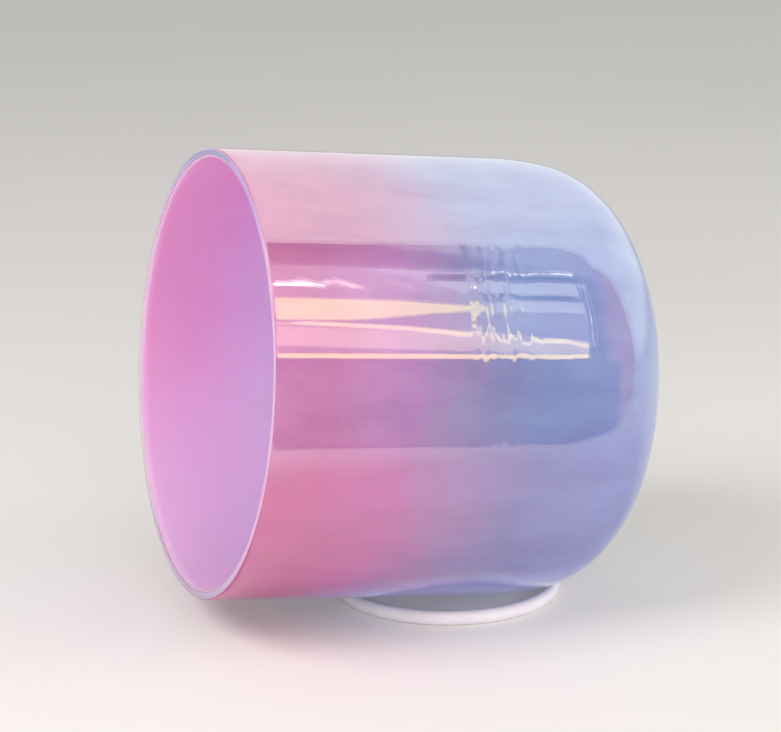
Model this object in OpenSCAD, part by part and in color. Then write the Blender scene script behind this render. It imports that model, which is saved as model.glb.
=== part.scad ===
// Crystal singing bowl of clear fused quartz, lying on its side on a silicone rest ring.
// Z is up, the ring stands on Z = 0, and the bowl's mouth faces -X.
// Outlines of the bowl are drawn as [radius from its axis, depth from its rim].

/* [Bowl] */
// Outer diameter of the straight wall
bowl_d = 203; // [170:1:260]
// Height, from the rim to the crown of the base
bowl_h = 204; // [165:1:260]
// Thickness of the quartz wall
wall = 4; // [3:0.1:7]
// Radius of the shoulder arc, where the straight wall begins to turn in
shoulder_r = 127; // [100:1:160]
// Angle that the shoulder arc turns through
shoulder_turn = 11; // [6:0.5:16]
// Radius of the corner arc, between the shoulder and the base
corner_r = 44; // [34:1:54]
// Radius of the shallow dome of the base
base_r = 225; // [180:5:320]
// Radius of the polished rounding on both edges of the rim
rim_round = 1.3; // [0.4:0.1:1.4]

/* [Colour coat] */
// Thickness of the frosted colour coat on the inside of the wall
coat_t = 0.3; // [0.2:0.05:0.6]
// Depth below the rim at which the coat starts
coat_start = 1.4; // [1.4:0.1:6]

/* [Rest ring] */
// Overall diameter of the ring
ring_d = 107.5; // [90:0.5:130]
// Diameter of the ring's round section
ring_tube_d = 6.7; // [5.5:0.1:8.5]
// Depth to which the ring's section is pressed flat where it stands
ring_flat = 0.15; // [0.05:0.05:0.4]

/* [Seat] */
// Clearance between the bowl and the ring that carries it
seat_gap = 0.25; // [0.1:0.05:0.5]
// Clearance between the bowl's lowest line and the surface that the ring stands on
table_gap = 0.4; // [0.2:0.1:1]

/* [Hidden] */
$fn = 240;

bowl_r = bowl_d / 2;
tube_r = ring_tube_d / 2;
ring_r = ring_d / 2 - tube_r;        // radius of the circle through the middle of the tube
tube_z = tube_r - ring_flat;         // height of that circle

// Centres of the three arcs, each tangent to the one before it. The base arc's centre is on the axis,
// and the corner arc must lie inside it, which settles how long the straight wall is.
base_c = [0, bowl_h - base_r];
corner_c_r = bowl_r - shoulder_r + (shoulder_r - corner_r) * cos(shoulder_turn);
corner_c = [corner_c_r, base_c[1] + sqrt(pow(base_r - corner_r, 2) - pow(corner_c_r, 2))];
wall_h = corner_c[1] - (shoulder_r - corner_r) * sin(shoulder_turn);
shoulder_c = [bowl_r - shoulder_r, wall_h];
base_turn = atan2(corner_c[1] - base_c[1], corner_c_r);   // where the corner arc meets the base arc

// Distance from a point to the bowl's outer skin, positive outside
function skin_gap(p) =
    p[1] <= wall_h ? p[0] - bowl_r
    : bearing(shoulder_c, p) < shoulder_turn ? norm(p - shoulder_c) - shoulder_r
    : bearing(corner_c, p) < base_turn ? norm(p - corner_c) - corner_r
    : norm(p - base_c) - base_r;
function bearing(centre, p) = atan2(p[1] - centre[1], p[0] - centre[0]);

// How far the skin reaches from the middle of the mouth, along a normal at this angle to the wall's own
function reach(angle) =
    angle < shoulder_turn ? arc_reach(shoulder_c, shoulder_r, angle)
    : angle < base_turn ? arc_reach(corner_c, corner_r, angle)
    : arc_reach(base_c, base_r, angle);
function arc_reach(centre, r, angle) = centre[0] * cos(angle) + centre[1] * sin(angle) + r;

// The bowl lies with its wall on one side of the ring and its corner on the other, tilted base down.
// At a given tilt its lowest line fixes the height of the mouth's middle, and the wall's seat on the
// ring then fixes the mouth's place along X, both measured from the middle of the ring.
seat_r = bowl_r + seat_gap + tube_r;
function mouth_height(tilt) = table_gap + reach(tilt);
function seat_depth(tilt) = (mouth_height(tilt) - tube_z - seat_r * cos(tilt)) / sin(tilt);
function mouth_side(tilt) = seat_r * sin(tilt) - seat_depth(tilt) * cos(tilt) - ring_r;

// The tube's middle at this angle round the ring, as [radius, depth] in the tilted bowl
function tube_in_bowl(tilt, turn) =
    let (
        x = ring_r * cos(turn) - mouth_side(tilt),
        y = ring_r * sin(turn),
        z = tube_z - mouth_height(tilt),
        down = -x * sin(tilt) - z * cos(tilt)
    )
    [norm([down, y]), x * cos(tilt) - z * sin(tilt)];

// Room left between the bowl and the ring's far side, which grows with the tilt
function spare(tilt) =
    min([for (turn = [0:3:75]) skin_gap(tube_in_bowl(tilt, turn))]) - tube_r - seat_gap;
function settle(low, high, steps) =
    let (middle = (low + high) / 2)
    steps == 0 ? middle
    : spare(middle) > 0 ? settle(low, middle, steps - 1)
    : settle(middle, high, steps - 1);
tilt = settle(1, 25, 30);

// The whole object is centred on X = 0 between the rim's lowest edge and the base
x_rim = rim_round * (cos(tilt) - 1) - (bowl_r - rim_round) * sin(tilt);
x_base = reach(90 - tilt);
ring_x = -mouth_side(tilt) - (x_rim + x_base) / 2;
mouth_x = ring_x + mouth_side(tilt);

// A slice of a disc between two angles less than 90 degrees apart
module slice(centre, r, from, to) {
    past = 2 * r;
    translate(centre)
        intersection() {
            circle(r);
            polygon([[0, 0], past * [cos(from), sin(from)], past * [cos(to), sin(to)]]);
        }
}

// Half outline of the bowl's skin moved inwards by inset, from a starting depth to the base. The corner's
// disc touches the arcs on both sides of it from within, so it is drawn whole.
module outline(inset, start) {
    intersection() {
        translate([0, start])
            square(2 * bowl_h);
        union() {
            translate([0, start])
                square([bowl_r - inset, wall_h - start]);
            slice(shoulder_c, shoulder_r - inset, -shoulder_turn, shoulder_turn);
            translate(corner_c)
                circle(corner_r - inset);
            slice(base_c, base_r - inset, base_turn, 90);
        }
    }
}

// What rounding takes off an edge of the rim, for an edge at the origin with the wall on its left
module rim_corner() {
    difference() {
        translate([-rim_round, -1])
            square([rim_round + 1, rim_round + 1]);
        translate([-rim_round, rim_round])
            circle(rim_round);
    }
}

module in_place() {
    translate([mouth_x, 0, mouth_height(tilt)])
        rotate([0, 90 + tilt, 0])
            children();
}

module quartz_bowl() {
    color([0.86, 0.9, 0.97, 0.4])
        in_place()
            rotate_extrude()
                difference() {
                    outline(0, 0);
                    outline(wall, -1);
                    translate([bowl_r, 0])
                        rim_corner();
                    translate([bowl_r - wall, 0])
                        mirror([1, 0])
                            rim_corner();
                }
}

module colour_coat() {
    color([0.78, 0.47, 0.72])
        in_place()
            rotate_extrude()
                difference() {
                    outline(wall, coat_start);
                    outline(wall + coat_t, coat_start - 1);
                }
}

module rest_ring() {
    color([0.93, 0.92, 0.94])
        translate([ring_x, 0, 0])
            rotate_extrude()
                intersection() {
                    translate([ring_r, tube_z])
                        circle(tube_r);
                    square([ring_d, ring_tube_d]);
                }
}

quartz_bowl();
colour_coat();
rest_ring();
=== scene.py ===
import math

import bpy
from mathutils import Euler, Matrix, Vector


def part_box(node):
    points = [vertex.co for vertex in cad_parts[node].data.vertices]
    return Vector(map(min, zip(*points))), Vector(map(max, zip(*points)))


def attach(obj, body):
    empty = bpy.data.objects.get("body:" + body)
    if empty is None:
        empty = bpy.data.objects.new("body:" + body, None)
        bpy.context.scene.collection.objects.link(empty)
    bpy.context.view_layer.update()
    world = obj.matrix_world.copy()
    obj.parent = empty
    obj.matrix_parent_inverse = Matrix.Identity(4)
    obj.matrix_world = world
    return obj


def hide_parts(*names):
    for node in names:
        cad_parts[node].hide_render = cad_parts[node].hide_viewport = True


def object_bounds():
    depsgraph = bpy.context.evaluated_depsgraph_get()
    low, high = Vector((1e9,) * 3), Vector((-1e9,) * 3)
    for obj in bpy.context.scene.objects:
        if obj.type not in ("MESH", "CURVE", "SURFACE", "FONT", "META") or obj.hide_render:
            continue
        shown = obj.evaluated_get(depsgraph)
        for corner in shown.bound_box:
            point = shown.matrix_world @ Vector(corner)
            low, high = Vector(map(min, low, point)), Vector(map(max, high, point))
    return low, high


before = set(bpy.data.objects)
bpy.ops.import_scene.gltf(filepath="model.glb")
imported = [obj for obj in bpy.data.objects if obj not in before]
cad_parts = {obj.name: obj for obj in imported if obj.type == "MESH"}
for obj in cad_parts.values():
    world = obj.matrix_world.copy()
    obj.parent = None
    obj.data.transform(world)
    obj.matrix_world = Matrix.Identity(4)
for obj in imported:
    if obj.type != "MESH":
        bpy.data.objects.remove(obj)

cad_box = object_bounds()

# --- Camera ------------------------------------------------------------------------------------------
# A long lens a metre and a half away, a little above the bowl and on the side of its mouth.
camera_azimuth, camera_elevation = math.radians(-20.23), math.radians(14.78)
camera_distance = 1.4544
camera_lens = 146.1
aim_off_middle = Vector((-0.007, 0.0, 0.0028))

aim = (cad_box[0] + cad_box[1]) / 2 + aim_off_middle
towards_camera = Vector((
    math.sin(camera_azimuth) * math.cos(camera_elevation),
    -math.cos(camera_azimuth) * math.cos(camera_elevation),
    math.sin(camera_elevation),
))
camera = bpy.data.objects.new("camera", bpy.data.cameras.new("camera"))
camera.data.lens = camera_lens
camera.location = aim + camera_distance * towards_camera
camera.rotation_mode = "QUATERNION"
camera.rotation_quaternion = towards_camera.to_track_quat("Z", "Y")
bpy.context.scene.collection.objects.link(camera)
bpy.context.scene.camera = camera

# --- Quartz bowl -------------------------------------------------------------------------------------
# The bowl is a thick shell of clear fused quartz, spun in a mould that turns while an arc melts the sand,
# so every section is a circle. Its rim is cut off straight and ground, and both edges are rounded over.
bowl_low, bowl_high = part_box("quartz_bowl")
wall_radius = (bowl_high.y - bowl_low.y) / 2
bowl_height = 0.204
quartz_wall = 0.004
rim_round = 0.0013
shoulder_radius, shoulder_turn = 0.127, math.radians(11)
corner_radius = 0.044
base_radius = 0.225
quartz_index = 1.458
wave_height, wave_length = 0.00008, 0.03

# The skin is a straight wall and three arcs, each tangent to the one before it. An outline is drawn as
# (radius from the axis, depth from the rim).
base_centre = (0.0, bowl_height - base_radius)
corner_off = wall_radius - shoulder_radius + (shoulder_radius - corner_radius) * math.cos(shoulder_turn)
corner_rise = math.sqrt((base_radius - corner_radius) ** 2 - corner_off ** 2)
corner_centre = (corner_off, base_centre[1] + corner_rise)
wall_depth = corner_centre[1] - (shoulder_radius - corner_radius) * math.sin(shoulder_turn)
shoulder_centre = (wall_radius - shoulder_radius, wall_depth)
base_turn = math.atan2(corner_rise, corner_off)

# How finely the outline and the circle round the axis are divided
circle_sides = 240
wall_rows = 48
shoulder_step, corner_step, base_step = math.radians(1.4), math.radians(2.5), math.radians(1.2)
rim_step = math.radians(15)


def arc(centre, radius, start, end, step):
    """Points along an arc, both ends included."""
    count = max(1, round(abs(end - start) / step))
    turns = [start + (end - start) * i / count for i in range(count + 1)]
    return [(centre[0] + radius * math.cos(t), centre[1] + radius * math.sin(t)) for t in turns]


def skin(inset, start):
    """Half outline of the bowl's skin, moved inwards by inset, from a starting depth to its axis."""
    row = (wall_depth - start) / wall_rows
    wall = [(wall_radius - inset, start + row * i) for i in range(wall_rows)]
    shoulder = arc(shoulder_centre, shoulder_radius - inset, 0, shoulder_turn, shoulder_step)
    corner = arc(corner_centre, corner_radius - inset, shoulder_turn, base_turn, corner_step)
    base = arc(base_centre, base_radius - inset, base_turn, math.pi / 2, base_step)
    pole = (0.0, base_centre[1] + base_radius - inset)
    return wall + shoulder + corner[1:] + base[1:-1] + [pole]


def facing(points, outward):
    """The same points with a third number: 1 where the surface faces outwards, or 0 where it doesn't."""
    return [(radius, depth, outward) for radius, depth in points]


# The bowl lies on its side with its base down a little. Its length along X gives the tilt.
def length_at(tilt):
    """How long the bowl is along X when its axis dips by this angle."""
    rim_end = rim_round * (math.cos(tilt) - 1) - (wall_radius - rim_round) * math.sin(tilt)
    return base_centre[1] * math.cos(tilt) + base_radius - rim_end


def tilt_for(length):
    """The dip of the axis at which the bowl is this long, found by halving."""
    low, high = 0.0, math.radians(30)
    halvings = 40
    for _ in range(halvings):
        tilt = (low + high) / 2
        low, high = (tilt, high) if length_at(tilt) < length else (low, tilt)
    return tilt


tilt = tilt_for(bowl_high.x - bowl_low.x)
mouth_x = bowl_high.x - base_radius - base_centre[1] * math.cos(tilt)
mouth_z = bowl_high.z - (wall_radius - rim_round) * math.cos(tilt) - rim_round * (1 - math.sin(tilt))
mouth = Vector((mouth_x, 0.0, mouth_z))
bowl_turn = Euler((0.0, math.pi / 2 + tilt, 0.0))
bowl_axis = Vector((math.cos(tilt), 0.0, -math.sin(tilt)))


class Tree:
    """Adds nodes to a node tree and joins them, so that a tree reads from its start to its end."""

    def __init__(self, tree):
        self.tree = tree

    def add(self, kind, inputs=None, output=0, **settings):
        """A node with its settings and its inputs, each a value or another node's output."""
        node = self.tree.nodes.new(kind)
        for name, value in settings.items():
            setattr(node, name, value)
        for name, value in (inputs or {}).items():
            if isinstance(value, bpy.types.NodeSocket):
                self.tree.links.new(value, node.inputs[name])
            else:
                node.inputs[name].default_value = value
        return node.outputs[output]

    def join(self, output, node, name):
        """Leads an output to a named input of a node that is already there."""
        self.tree.links.new(output, node.inputs[name])

    def math(self, operation, *values):
        """A sum on one or two values."""
        return self.add("ShaderNodeMath", dict(enumerate(values)), operation=operation)

    def vector(self, operation, *values):
        """The same on vectors or colours."""
        return self.add("ShaderNodeVectorMath", dict(enumerate(values)), operation=operation)

    def part(self, vector, axis):
        """One coordinate of a vector."""
        return self.add("ShaderNodeSeparateXYZ", {"Vector": vector}, axis)

    def noise(self, place, scale, detail, roughness=0.5):
        """Soft noise from 0 to 1. Each step of detail adds a layer of half the size."""
        inputs = {"Vector": place, "Scale": scale, "Detail": detail, "Roughness": roughness}
        return self.add("ShaderNodeTexNoise", inputs)

    def span(self, value, source, target, smooth=False):
        """Carries a value from one span over to another, and holds it at the ends."""
        inputs = {0: value, 1: source[0], 2: source[1], 3: target[0], 4: target[1]}
        return self.add("ShaderNodeMapRange", inputs, interpolation_type="SMOOTHSTEP" if smooth else "LINEAR")

    def mix(self, factor, first, second):
        """The first colour where the factor is 0, and the second where it is 1."""
        return self.add("ShaderNodeMix", {0: factor, 6: first, 7: second}, 2, data_type="RGBA")

    def ramp(self, factor, *stops):
        """A colour ramp whose stops are (place from 0 to 1, linear colour)."""
        node = self.tree.nodes.new("ShaderNodeValToRGB")
        self.tree.links.new(factor, node.inputs[0])
        while len(node.color_ramp.elements) < len(stops):
            node.color_ramp.elements.new(1.0)
        for stop, (place, colour) in zip(node.color_ramp.elements, stops):
            stop.position = place
            stop.color = (*colour, 1)
        return node.outputs[0]


def lathe_tree():
    """Turns a half outline, whose points hold radius, depth and side, about its axis into a skin."""
    group = bpy.data.node_groups.new("lathe", "GeometryNodeTree")
    face = group.interface
    face.new_socket("Outline", in_out="INPUT", socket_type="NodeSocketGeometry")
    for name, kind in (
        ("Sides", "NodeSocketInt"), ("Origin", "NodeSocketVector"), ("Lean", "NodeSocketFloat"),
        ("Wave height", "NodeSocketFloat"), ("Wave length", "NodeSocketFloat"),
        ("Material", "NodeSocketMaterial"),
    ):
        face.new_socket(name, in_out="INPUT", socket_type=kind)
    face.new_socket("Piece", in_out="OUTPUT", socket_type="NodeSocketGeometry")
    t = Tree(group)
    given = group.nodes.new("NodeGroupInput").outputs

    # A flat grid, with a row for each point of the outline and a column for each side
    rows = t.add("GeometryNodeAttributeDomainSize", {"Geometry": given["Outline"]})
    columns = t.math("ADD", given["Sides"], 1.0)
    grid = t.add("GeometryNodeMeshGrid", {"Vertices X": columns, "Vertices Y": rows})
    index = t.add("GeometryNodeInputIndex")
    row = t.math("MODULO", index, rows)
    column = t.math("FLOOR", t.math("DIVIDE", t.math("ADD", index, 0.5), rows))
    angle = t.math("MULTIPLY", t.math("DIVIDE", column, given["Sides"]), 2 * math.pi)
    point = t.add(
        "GeometryNodeSampleIndex",
        {"Geometry": given["Outline"], "Value": t.add("GeometryNodeInputPosition"), "Index": row},
        data_type="FLOAT_VECTOR",
    )
    radius, depth, outward = (t.part(point, axis) for axis in "XYZ")
    around = (t.math("COSINE", angle), t.math("SINE", angle))

    # The grid is rolled up, with low waves on its outward side that die away at the axis
    smooth = t.add("ShaderNodeCombineXYZ", {
        "X": t.math("MULTIPLY", radius, around[0]), "Y": t.math("MULTIPLY", radius, around[1]), "Z": depth,
    })
    ripple = t.noise(t.vector("DIVIDE", smooth, given["Wave length"]), 1.0, 1.0)
    height = t.math("MULTIPLY", t.math("MULTIPLY", ripple, given["Wave height"]), outward)
    inwards = t.math("SUBTRACT", radius, t.math("MINIMUM", height, radius))
    turned = t.add("ShaderNodeCombineXYZ", {
        "X": t.math("MULTIPLY", inwards, around[0]), "Y": t.math("MULTIPLY", inwards, around[1]), "Z": depth,
    })
    leaning = t.add(
        "ShaderNodeVectorRotate", {"Vector": turned, "Angle": given["Lean"]}, rotation_type="Y_AXIS",
    )
    placed = t.add("GeometryNodeSetPosition", {
        "Geometry": grid, "Position": t.vector("ADD", leaning, given["Origin"]),
    })
    marked = t.add(
        "GeometryNodeStoreNamedAttribute", {"Geometry": placed, "Name": "outward", "Value": outward},
        data_type="FLOAT", domain="POINT",
    )
    seam_gap = 1e-6
    closed = t.add("GeometryNodeMergeByDistance", {"Geometry": marked, "Distance": seam_gap})
    smoothed = t.add("GeometryNodeSetShadeSmooth", {"Geometry": closed})
    plain = t.add("GeometryNodeRealizeInstances", {"Geometry": smoothed})
    finished = t.add("GeometryNodeSetMaterial", {"Geometry": plain, "Material": given["Material"]})
    t.join(finished, group.nodes.new("NodeGroupOutput"), "Piece")
    return group


lathe = lathe_tree()


def turned(name, outline, material, origin, lean=0.0, waves=(0.0, 1.0)):
    """A plain mesh piece made by turning an outline on the lathe. Waves are (height, length)."""
    line = bpy.data.meshes.new(name + "_outline")
    line.from_pydata(outline, [(i, i + 1) for i in range(len(outline) - 1)], [])
    piece = bpy.data.objects.new(name, line)
    bpy.context.scene.collection.objects.link(piece)
    turning = piece.modifiers.new("lathe", "NODES")
    turning.node_group = lathe
    given = {
        "Sides": circle_sides, "Origin": origin, "Lean": lean,
        "Wave height": waves[0], "Wave length": waves[1], "Material": material,
    }
    for socket in lathe.interface.items_tree:
        if socket.name in given:
            turning[socket.identifier] = given[socket.name]
    shape = bpy.data.meshes.new_from_object(piece.evaluated_get(bpy.context.evaluated_depsgraph_get()))
    piece.modifiers.remove(turning)
    piece.data = shape
    shape.name = name
    return piece


def new_material(name):
    """A new material, with its node tree to build on and its shader."""
    material = bpy.data.materials.new(name)
    material.use_nodes = True
    return material, Tree(material.node_tree), material.node_tree.nodes["Principled BSDF"]


def in_bowl(t):
    """The bowl's own frame for a material: its mouth's middle at the origin and depth along Z."""
    here = t.add("ShaderNodeTexCoord", output="Object")
    inputs = {"Vector": here, "Location": mouth, "Rotation": bowl_turn}
    return t.add("ShaderNodeMapping", inputs, vector_type="TEXTURE")


def clear_quartz():
    """Colourless quartz with a fire-polished skin, clear all through, with faint smears on it."""
    material, t, shader = new_material("clear_quartz")
    dullest, smear_height = 0.035, 0.000005
    smear = t.noise(in_bowl(t), 30.0, 4.0)
    t.join(t.span(smear, (0.45, 0.8), (0.0, dullest)), shader, "Roughness")
    t.join(t.add("ShaderNodeBump", {"Height": smear, "Distance": smear_height}), shader, "Normal")
    shader.inputs["Base Color"].default_value = (1, 1, 1, 1)
    shader.inputs["Transmission Weight"].default_value = 1.0
    shader.inputs["IOR"].default_value = quartz_index
    return material


def ground_quartz():
    """The cut end of the wall, ground flat with a fine haze, and tinted by height with painted light that
    stands in for the colour the wall carries to it.
    """
    material, t, shader = new_material("ground_quartz")
    here = t.add("ShaderNodeTexCoord", output="Object")
    full_height, haze_height = 0.22, 0.00002
    haze = t.noise(here, 90.0, 4.0)
    # Painted light: the tint by height stands in for light carried along the wall to its cut end
    painted_edge_light = t.ramp(
        t.math("DIVIDE", t.part(here, "Z"), full_height),
        (0.05, (0.66, 0.58, 0.86)),
        (0.25, (0.90, 0.64, 0.84)),
        (0.80, (0.88, 0.62, 0.84)),
        (0.93, (0.52, 0.51, 0.82)),
    )
    veil = t.ramp(haze, (0.3, (0.94, 0.94, 0.96)), (0.7, (1.04, 1.04, 1.02)))
    t.join(t.vector("MULTIPLY", painted_edge_light, veil), shader, "Base Color")
    t.join(t.span(haze, (0.0, 1.0), (0.25, 0.40)), shader, "Roughness")
    t.join(t.add("ShaderNodeBump", {"Height": haze, "Distance": haze_height}), shader, "Normal")
    shader.inputs["Transmission Weight"].default_value = 0.35
    shader.inputs["IOR"].default_value = quartz_index
    return material


rim_out_centre = (wall_radius - rim_round, rim_round)
rim_in_centre = (wall_radius - quartz_wall + rim_round, rim_round)
quartz_outline = (
    facing(reversed(skin(quartz_wall, rim_round)), 0.0)[:-1]
    + facing(arc(rim_in_centre, rim_round, -math.pi, -math.pi / 2, rim_step), 0.0)
    + facing(arc(rim_out_centre, rim_round, -math.pi / 2, 0, rim_step), 0.0)[:-1]
    + facing(skin(0.0, rim_round), 1.0)
)
quartz_bowl = turned(
    "quartz_shell", quartz_outline, clear_quartz(), mouth, bowl_turn.y, (wave_height, wave_length),
)

# The flat end of the rim is the only ground face. Quartz this clear leaves the shadow to the coat.
ground_depth = 0.0002
quartz_bowl.data.materials.append(ground_quartz())
ground_slot = len(quartz_bowl.data.materials) - 1
for face in quartz_bowl.data.polygons:
    if (face.center - mouth).dot(bowl_axis) < ground_depth:
        face.material_index = ground_slot
quartz_bowl.visible_shadow = False
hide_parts("quartz_bowl")
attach(quartz_bowl, "bowl")

# --- Colour coat -------------------------------------------------------------------------------------
# The colour is a thin frosted coat, sprayed and fired on the inside of the wall and a little way round the
# inner edge of the rim. It runs from rose through violet to a dusty blue at the base.
coat_thickness = 0.0003
coat_start = 0.0014
coat_lap, lap_step = math.radians(45), math.radians(7.5)

# The coat bites a little into the quartz, so that no film of air shows between them.
coat_bite = 0.00005


def drawn_marks(t, place, depth):
    """Low ripples left by the turning mould, strongest in a band about halfway down the wall."""
    across_wall, down_wall = 60.0, 230.0
    ripple = t.noise(t.vector("MULTIPLY", place, (across_wall, across_wall, down_wall)), 1.0, 1.0)
    strengths = (
        (0.0, 0.03), (0.445, 0.03), (0.46, 0.8), (0.49, 1.0), (0.58, 0.6), (0.61, 0.10), (0.68, 0.20),
        (0.76, 0.08),
    )
    band = t.ramp(depth, *((stop, (strength,) * 3) for stop, strength in strengths))
    return t.math("MULTIPLY", ripple, band)


def through_quartz(t, depth, height):
    """The coat's colour as the quartz shows it, by depth, with painted light by height: lit and shaded copies
    for the top and the lower part, and painted light on the underside.
    """
    middle = t.ramp(
        depth,
        (0.0, (0.60, 0.22, 0.44)),
        (0.13, (0.57, 0.21, 0.42)),
        (0.24, (0.55, 0.26, 0.51)),
        (0.32, (0.49, 0.25, 0.50)),
        (0.40, (0.39, 0.28, 0.48)),
        (0.48, (0.28, 0.30, 0.50)),
        (0.60, (0.24, 0.33, 0.56)),
        (0.80, (0.25, 0.33, 0.59)),
        (0.90, (0.38, 0.48, 0.74)),
        (1.0, (0.56, 0.70, 0.95)),
    )
    painted_light_low = t.ramp(
        depth,
        (0.0, (0.57, 0.055, 0.28)),
        (0.13, (0.53, 0.05, 0.28)),
        (0.28, (0.52, 0.09, 0.36)),
        (0.44, (0.34, 0.17, 0.41)),
        (0.60, (0.20, 0.20, 0.46)),
        (0.85, (0.21, 0.26, 0.57)),
        (1.0, (0.60, 0.76, 1.0)),
    )
    painted_light_high = t.ramp(
        depth,
        (0.0, (0.54, 0.19, 0.35)),
        (0.24, (0.49, 0.21, 0.36)),
        (0.34, (0.44, 0.26, 0.43)),
        (0.48, (0.33, 0.36, 0.55)),
        (0.80, (0.32, 0.40, 0.64)),
        (0.90, (0.40, 0.50, 0.78)),
        (1.0, (0.56, 0.70, 0.95)),
    )
    # Painted light on the underside: a pale blue near the floor towards the base
    painted_underside_glow = (0.48, 0.54, 1.0, 1)
    # Painted light and shade: the lower part and the top take their own copies of the colours
    painted_lower_mask = t.span(height, (0.088, 0.110), (1.0, 0.0), smooth=True)
    painted_upper_mask = t.span(height, (0.172, 0.188), (0.0, 1.0), smooth=True)
    under = t.math(
        "MULTIPLY", t.span(height, (0.016, 0.032), (1.0, 0.0)), t.span(depth, (0.16, 0.38), (0.0, 1.0)),
    )
    colour = t.mix(painted_lower_mask, t.mix(painted_upper_mask, middle, painted_light_high), painted_light_low)
    return t.mix(under, colour, painted_underside_glow)


def from_inside(t, depth, height):
    """The coat's colour on its free side, by depth, paler than through the quartz, partly for its frosting
    and partly as painted light bounced round inside, and lighter towards the bottom as painted light.
    """
    painted_light_high = t.ramp(
        depth,
        (0.0, (0.76, 0.26, 0.51)),
        (0.10, (0.77, 0.27, 0.54)),
        (0.16, (0.79, 0.29, 0.60)),
        (0.22, (0.80, 0.34, 0.68)),
        (0.32, (0.81, 0.44, 0.80)),
        (0.60, (0.57, 0.50, 0.88)),
        (1.0, (0.37, 0.48, 0.84)),
    )
    painted_light_low = t.ramp(
        depth,
        (0.0, (0.84, 0.44, 0.76)),
        (0.16, (0.84, 0.44, 0.82)),
        (0.32, (0.80, 0.52, 0.95)),
        (1.0, (0.40, 0.55, 0.95)),
    )
    # Painted light: the lower part of the inside is mixed to a lighter copy
    return t.mix(t.span(height, (0.0, 0.13), (1.0, 0.0), smooth=True), painted_light_high, painted_light_low)


def frosted_coat():
    """Fired colour, glossy where it lies against the quartz and matte like ground glass on its free side,
    with painted light by height on both sides.
    """
    material, t, shader = new_material("frosted_coat")
    place = in_bowl(t)
    # Height above the floor, which sets the painted light
    height = t.part(t.add("ShaderNodeTexCoord", output="Object"), "Z")
    outward = t.add("ShaderNodeAttribute", output="Fac", attribute_name="outward")

    # The colours follow depth, from 0 at the rim to 1 at the base, with soft clouds at their borders; painted
    # light follows height
    drift = 0.18
    from_rim = t.part(place, "Z")
    share = t.math("DIVIDE", from_rim, bowl_height)
    cloud = t.noise(place, 22.0, 3.0, 0.55)
    depth = t.math("ADD", share, t.math("MULTIPLY", t.math("SUBTRACT", cloud, 0.5), drift))
    colour = t.mix(outward, from_inside(t, depth, height), through_quartz(t, depth, height))

    # Sprayed strokes show through the quartz, and the lap round the edge of the rim is thin and pale
    along_stroke = 0.35
    strokes = t.noise(t.vector("MULTIPLY", place, (1.0, 1.0, along_stroke)), 60.0, 5.0, 0.6)
    shade = t.ramp(
        strokes, (0.30, (0.86, 0.82, 0.90)), (0.50, (1.0, 1.0, 1.0)), (0.70, (1.06, 1.14, 1.08)),
    )
    lap = t.span(from_rim, (0.0012, 0.0018), (1.0, 0.0))
    lapped = t.mix(lap, colour, (0.90, 0.42, 0.74, 1))
    t.join(t.vector("MULTIPLY", lapped, t.mix(outward, (1, 1, 1, 1), shade)), shader, "Base Color")

    # Fine grain on the free side, and the mould's ripples on the side that the quartz holds
    relief_height, grain_share = 0.00025, 0.09
    grain = t.math("MULTIPLY", t.noise(place, 2200.0, 2.0), grain_share)
    sanded = t.math("MULTIPLY", grain, t.math("SUBTRACT", 1.0, outward))
    moulded = t.math("MULTIPLY", drawn_marks(t, place, share), outward)
    relief = t.add("ShaderNodeBump", {"Height": t.math("ADD", sanded, moulded), "Distance": relief_height})
    t.join(relief, shader, "Normal")
    matte, glossy = 0.8, 0.03
    t.join(t.span(outward, (0.0, 1.0), (matte, glossy)), shader, "Roughness")

    # Light soaks through colour this thin, and a high index keeps its gloss under the quartz
    shader.inputs["IOR"].default_value = 2.5
    shader.inputs["Subsurface Weight"].default_value = 1.0
    shader.inputs["Subsurface Radius"].default_value = (1.0, 1.0, 1.0)
    shader.inputs["Subsurface Scale"].default_value = 0.0015
    return material


lap_end = -math.pi + coat_lap
lap_free = arc(rim_in_centre, rim_round + coat_thickness / 2, -math.pi, lap_end, lap_step)
lap_bound = arc(rim_in_centre, rim_round - coat_bite, lap_end, -math.pi, lap_step)
coat_outline = (
    facing(reversed(skin(quartz_wall + coat_thickness, coat_start)), 0.0)
    + facing(lap_free, 0.0)
    + facing(lap_bound, 1.0)
    + facing(skin(quartz_wall - coat_bite, coat_start), 1.0)
)
colour_coat = turned("colour_coat_layer", coat_outline, frosted_coat(), mouth, bowl_turn.y)
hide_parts("colour_coat")
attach(colour_coat, "bowl")

# --- Rest ring ---------------------------------------------------------------------------------------
# The bowl lies on a soft O-ring of milky silicone, moulded in two halves and pressed a little flat where
# it stands. The mould leaves a fine flash line on the ring's outer and inner equators.
ring_low, ring_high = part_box("rest_ring")
tube_radius = 0.00335
foot_sink = 0.00015
flash_height, flash_half_width = 0.00007, 0.00012

ring_middle = ((ring_low.x + ring_high.x) / 2, 0.0, 0.0)
ring_radius = (ring_high.x - ring_low.x) / 2 - tube_radius
tube_centre = (ring_radius, tube_radius - foot_sink)
soft_radius = tube_radius - flash_height
flash_turn = flash_half_width / soft_radius
foot_turn = math.asin(tube_centre[1] / tube_radius)
foot_half = tube_radius * math.cos(foot_turn)

# The round of the tube stops a little short of the foot, and eases into it.
round_turn = 0.93 * foot_turn
clear_of_flash = 2 * flash_turn
tube_step = math.radians(6)


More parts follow.
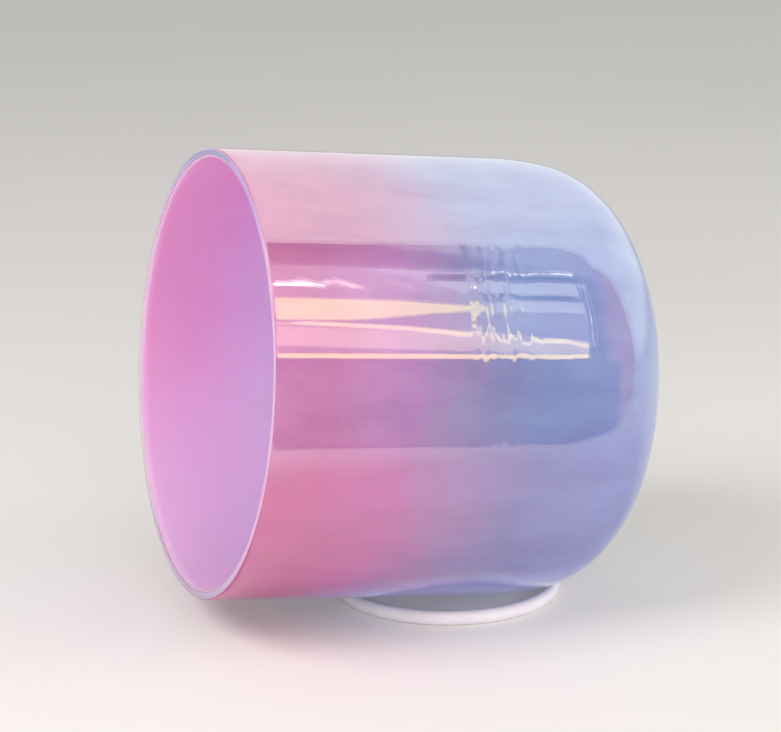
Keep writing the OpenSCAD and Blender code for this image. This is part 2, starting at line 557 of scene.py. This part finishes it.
def silicone():
    """Milky, slightly tacky rubber that lets light some way in, with a satin skin that has picked up dust."""
    material, t, shader = new_material("silicone")
    dust_height = 0.00004
    place = t.add("ShaderNodeTexCoord", output="Object")
    milk = t.noise(place, 60.0, 3.0)
    dust = t.noise(place, 400.0, 4.0)
    t.join(t.ramp(milk, (0.3, (0.73, 0.70, 0.73)), (0.7, (0.79, 0.77, 0.79))), shader, "Base Color")
    t.join(t.span(dust, (0.0, 1.0), (0.15, 0.32)), shader, "Roughness")
    t.join(t.add("ShaderNodeBump", {"Height": dust, "Distance": dust_height}), shader, "Normal")
    shader.inputs["Subsurface Weight"].default_value = 0.7
    shader.inputs["Subsurface Radius"].default_value = (1.0, 0.95, 0.95)
    shader.inputs["Subsurface Scale"].default_value = 0.003
    return material


def flash(turn):
    """Three points across the flash line at this place round the tube."""
    ridge = ((turn - flash_turn, soft_radius), (turn, tube_radius), (turn + flash_turn, soft_radius))
    return [(tube_centre[0] + r * math.cos(a), tube_centre[1] + r * math.sin(a)) for a, r in ridge]


section = (
    [(ring_radius + foot_half, 0.0)]
    + arc(tube_centre, soft_radius, -round_turn, -clear_of_flash, tube_step)
    + flash(0.0)
    + arc(tube_centre, soft_radius, clear_of_flash, math.pi - clear_of_flash, tube_step)
    + flash(math.pi)
    + arc(tube_centre, soft_radius, math.pi + clear_of_flash, math.pi + round_turn, tube_step)
    + [(ring_radius - foot_half, 0.0), (ring_radius + foot_half, 0.0)]
)
rest_ring = turned("rest_ring_moulding", facing(section, 0.0), silicone(), ring_middle)
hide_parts("rest_ring")
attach(rest_ring, "ring")

# --- Studio ------------------------------------------------------------------------------------------
# A plain pale floor, a bright diffusing tent over the back half of the room, a leaning wall of lamp cards
# in front that the bowl mirrors as streaks, and soft boxes that light the object.
floor_radius, floor_sides = 8.0, 64
floor_glow = 0.10


def straight_rays(t):
    """1 for a ray from the camera, a gloss or clear glass, which sees a thing as it is, and 0 for others."""
    rays = t.tree.nodes.new("ShaderNodeLightPath").outputs
    mirrored = t.math("MAXIMUM", rays["Is Camera Ray"], rays["Is Glossy Ray"])
    return t.math("MAXIMUM", mirrored, rays["Is Transmission Ray"])


floor_turns = [2 * math.pi * i / floor_sides for i in range(floor_sides)]
floor_mesh = bpy.data.meshes.new("floor")
floor_mesh.from_pydata(
    [(floor_radius * math.cos(turn), floor_radius * math.sin(turn), 0.0) for turn in floor_turns], [],
    [list(range(floor_sides))],
)
floor = bpy.data.objects.new("floor", floor_mesh)
bpy.context.scene.collection.objects.link(floor)
floor_paint, t, shader = new_material("pale_floor")
mottle = t.noise(t.add("ShaderNodeTexCoord", output="Object"), 3.0, 6.0)
t.join(t.ramp(mottle, (0.3, (0.84, 0.82, 0.79)), (0.7, (0.87, 0.85, 0.82))), shader, "Base Color")
t.join(t.math("MULTIPLY", straight_rays(t), floor_glow), shader, "Emission Strength")
shader.inputs["Emission Color"].default_value = (1.0, 0.98, 0.95, 1)
shader.inputs["Roughness"].default_value = 0.8
shader.inputs["Specular IOR Level"].default_value = 0.2
floor_mesh.materials.append(floor_paint)

# The tent is behind the line where Y and a quarter of X add up to nothing. In front of it the room is
# dark, and warm on the side of the base.
tent_lean, lean_limit, tent_edge = 0.25, 0.5, 0.015
tent_level, tent_gloss = 0.40, 1.5
backdrop = (0.85, 0.85, 0.84, 1)

world = bpy.data.worlds.new("studio")
bpy.context.scene.world = world
world.use_nodes = True
t = Tree(world.node_tree)
direction = t.add("ShaderNodeTexCoord", output="Generated")
across, away, up = (t.part(direction, axis) for axis in "XYZ")
lean = t.math("MULTIPLY", t.math("MINIMUM", across, lean_limit), tent_lean)
behind = t.span(t.math("ADD", away, lean), (-tent_edge, 0.0), (0.0, 1.0))
tent = t.ramp(up, (0.0, (0.78, 0.80, 0.77)), (0.35, (0.82, 0.86, 0.84)), (0.80, (0.84, 0.88, 0.82)))
room = t.ramp(across, (0.68, (0.26, 0.27, 0.30)), (0.76, (0.85, 0.48, 0.46)))
level = t.span(straight_rays(t), (0.0, 1.0), (tent_level, tent_gloss))
studio = t.mix(behind, room, t.vector("MULTIPLY", tent, level))
seen = t.mix(t.add("ShaderNodeLightPath", output="Is Camera Ray"), studio, backdrop)
t.join(seen, world.node_tree.nodes["Background"], "Color")

# The lamp cards hang in one plane that leans back over the bowl. A place on it is (along X, up the lean).
lamp_wall_foot, lamp_wall_top = Vector((0.0, -1.30, 0.65)), Vector((0.0, -0.47, 1.65))
lamp_wall_up = (lamp_wall_top - lamp_wall_foot).normalized()
lamp_wall_out = lamp_wall_up.cross(Vector((1.0, 0.0, 0.0)))


def glowing_sheet(name, points, colour, radiance):
    """A flat sheet that gives light and can't be seen from the camera."""
    mesh = bpy.data.meshes.new(name)
    mesh.from_pydata(points, [], [list(range(len(points)))])
    glow, _, shader = new_material(name)
    shader.inputs["Base Color"].default_value = (0, 0, 0, 1)
    shader.inputs["Specular IOR Level"].default_value = 0.0
    shader.inputs["Emission Color"].default_value = (*colour, 1)
    shader.inputs["Emission Strength"].default_value = radiance
    mesh.materials.append(glow)
    sheet = bpy.data.objects.new(name, mesh)
    sheet.visible_camera = False
    bpy.context.scene.collection.objects.link(sheet)
    return sheet


def lamp_card(name, corners, colour, radiance, lift=0.0):
    """A flat lamp of any outline in the front plane, moved towards the bowl by lift."""
    start = lamp_wall_foot + lamp_wall_out * lift
    points = [start + Vector((u, 0.0, 0.0)) + lamp_wall_up * v for u, v in corners]
    return glowing_sheet(name, points, colour, radiance)


def upright(left, right, low, high):
    """Corners of an upright rectangle."""
    return (left, low), (right, low), (right, high), (left, high)


# Large panels that set the level of the gloss, and the shades at the top of it
lamp_card(
    "front_panel", ((-0.7, 0.0), (0.66, 0.0), (0.66, 1.15), (0.57, 1.19), (-0.7, 1.25)),
    (1.0, 0.95, 0.94), 0.75,
)
lamp_card(
    "top_left_shade", ((0.15, 1.24), (0.85, 1.19), (0.85, 1.70), (0.15, 1.70)), (0.9, 0.8, 1.0), 0.15,
)
lamp_card("top_shade", ((0.85, 1.15), (1.60, 1.13), (1.60, 1.75), (0.85, 1.75)), (0.95, 0.85, 0.85), 0.65)
lamp_card(
    "right_panel", ((0.66, 0.0), (1.03, 0.0), (1.03, 1.09), (0.78, 1.10), (0.66, 1.15)),
    (1.0, 0.97, 1.0), 1.2,
)

# Dark slats and bright edges on the right panel, like those of a window
slat_blue = (0.7, 0.8, 1.0)
lamp_card("upper_slat", ((0.66, 0.95), (1.03, 0.96), (1.03, 1.07), (0.70, 1.07)), slat_blue, 0.10, 0.01)
lamp_card("lower_slat", ((0.67, 0.68), (1.01, 0.69), (1.01, 0.76), (0.67, 0.76)), slat_blue, 0.10, 0.01)
lamp_card(
    "shade_slat", ((0.64, 0.20), (1.01, 0.18), (1.02, 0.53), (0.66, 0.53)), (1.0, 0.85, 1.0), 0.7, 0.01,
)
lamp_card("slat_edge", upright(0.70, 1.0, 0.545, 0.56), (1.0, 0.9, 0.95), 1.8, 0.02)
lamp_card(
    "top_edge", ((0.80, 1.10), (1.02, 1.095), (1.02, 1.12), (0.84, 1.115)), (1.0, 0.93, 0.90), 6.0, 0.02,
)

# Warm strips and a wedge, which make the long streaks on the front of the bowl
lamp_card("low_strip", upright(0.2, 1.0, -0.06, 0.0), (1.0, 0.72, 0.28), 3.4, 0.01)
lamp_card(
    "wedge_window", ((0.2, 0.40), (0.50, 0.41), (0.625, 0.54), (0.64, 0.59), (0.58, 0.66), (0.2, 0.72)),
    (1.0, 0.90, 0.36), 2.6, 0.01,
)
lamp_card(
    "sloping_strip",
    ((0.42, 0.36), (0.537, 0.29), (0.60, 0.20), (0.66, 0.145), (0.98, 0.08),
     (1.0, 0.13), (0.68, 0.20), (0.61, 0.26), (0.54, 0.34), (0.45, 0.39)),
    (1.0, 0.78, 0.40), 3.2, 0.02,
)
lamp_card(
    "soft_slope",
    ((0.20, 0.16), (0.66, 0.02), (0.99, 0.01), (0.98, 0.08), (0.66, 0.145), (0.537, 0.29), (0.2, 0.40)),
    (1.0, 0.80, 0.62), 1.7, 0.01,
)
lamp_card("short_strip", upright(0.47, 0.54, 0.845, 0.88), (1.0, 0.95, 0.85), 9.0, 0.01)

# Round bulbs beside the short strip, drawn tall because the bowl mirrors them flat
bulb_width, bulb_height, bulb_rise = 0.006, 0.07, 0.875
bulb_turns = [i * math.pi / 8 for i in range(16)]
for name, middle, radiance in (
    ("glow_one", 0.526, 3.6), ("glow_two", 0.560, 3.6), ("glow_three", 0.614, 1.4),
):
    bulb = [(middle + bulb_width * math.cos(a), bulb_rise + bulb_height * math.sin(a)) for a in bulb_turns]
    lamp_card(name, bulb, (1.0, 0.84, 0.74), radiance, 0.02)
lamp_card("side_strip", upright(1.12, 1.13, 0.10, 1.0), (1.0, 0.93, 0.95), 4.5)

# Two low flags stand on the floor in front. Only the quartz sees them, as the foot of the room.
flag_away, flag_height = -0.31, 0.2
for name, left, right, colour, radiance in (
    ("floor_flag", -1.5, 0.36, (0.88, 0.95, 1.0), 0.34), ("side_flag", 0.36, 1.4, (1.0, 0.6, 0.56), 0.75),
):
    points = [(x, flag_away, z) for x, z in upright(left, right, 0.0, flag_height)]
    flag = glowing_sheet(name, points, colour, radiance)
    flag.visible_diffuse = False
    flag.visible_shadow = False


def softbox(name, place, size, colour, radiance, look_at, mirrored=False):
    """A rectangular lamp of this brightness that faces a point."""
    lamp = bpy.data.lights.new(name, "AREA")
    lamp.shape = "RECTANGLE"
    lamp.size, lamp.size_y = size
    lamp.color = colour
    lamp.energy = radiance * math.pi * size[0] * size[1]
    holder = bpy.data.objects.new(name, lamp)
    holder.location = place
    holder.rotation_mode = "QUATERNION"
    holder.rotation_quaternion = (Vector(place) - Vector(look_at)).to_track_quat("Z", "Y")
    holder.visible_camera = False
    holder.visible_transmission = False
    holder.visible_glossy = mirrored
    bpy.context.scene.collection.objects.link(holder)


softbox("fill", (-1.6, -5.2, 1.14), (5.8, 2.3), (1.0, 0.98, 0.97), 2.7, (0.0, 0.0, 0.1))
softbox("low_fill", (0.0, -4.8, 0.58), (7.2, 1.0), (1.0, 0.94, 0.98), 3.6, (0.0, 0.0, 0.06))
softbox("side_fill", (2.80, -1.00, 0.78), (1.35, 1.65), (0.84, 0.93, 1.0), 4.0, (0.05, 0.0, 0.1))
softbox("mouth_light", (-1.10, -0.35, 1.25), (0.9, 0.8), (1.0, 0.96, 0.98), 6.0, (-0.05, 0.0, 0.1), True)

bpy.context.scene.view_settings.view_transform = "Standard"
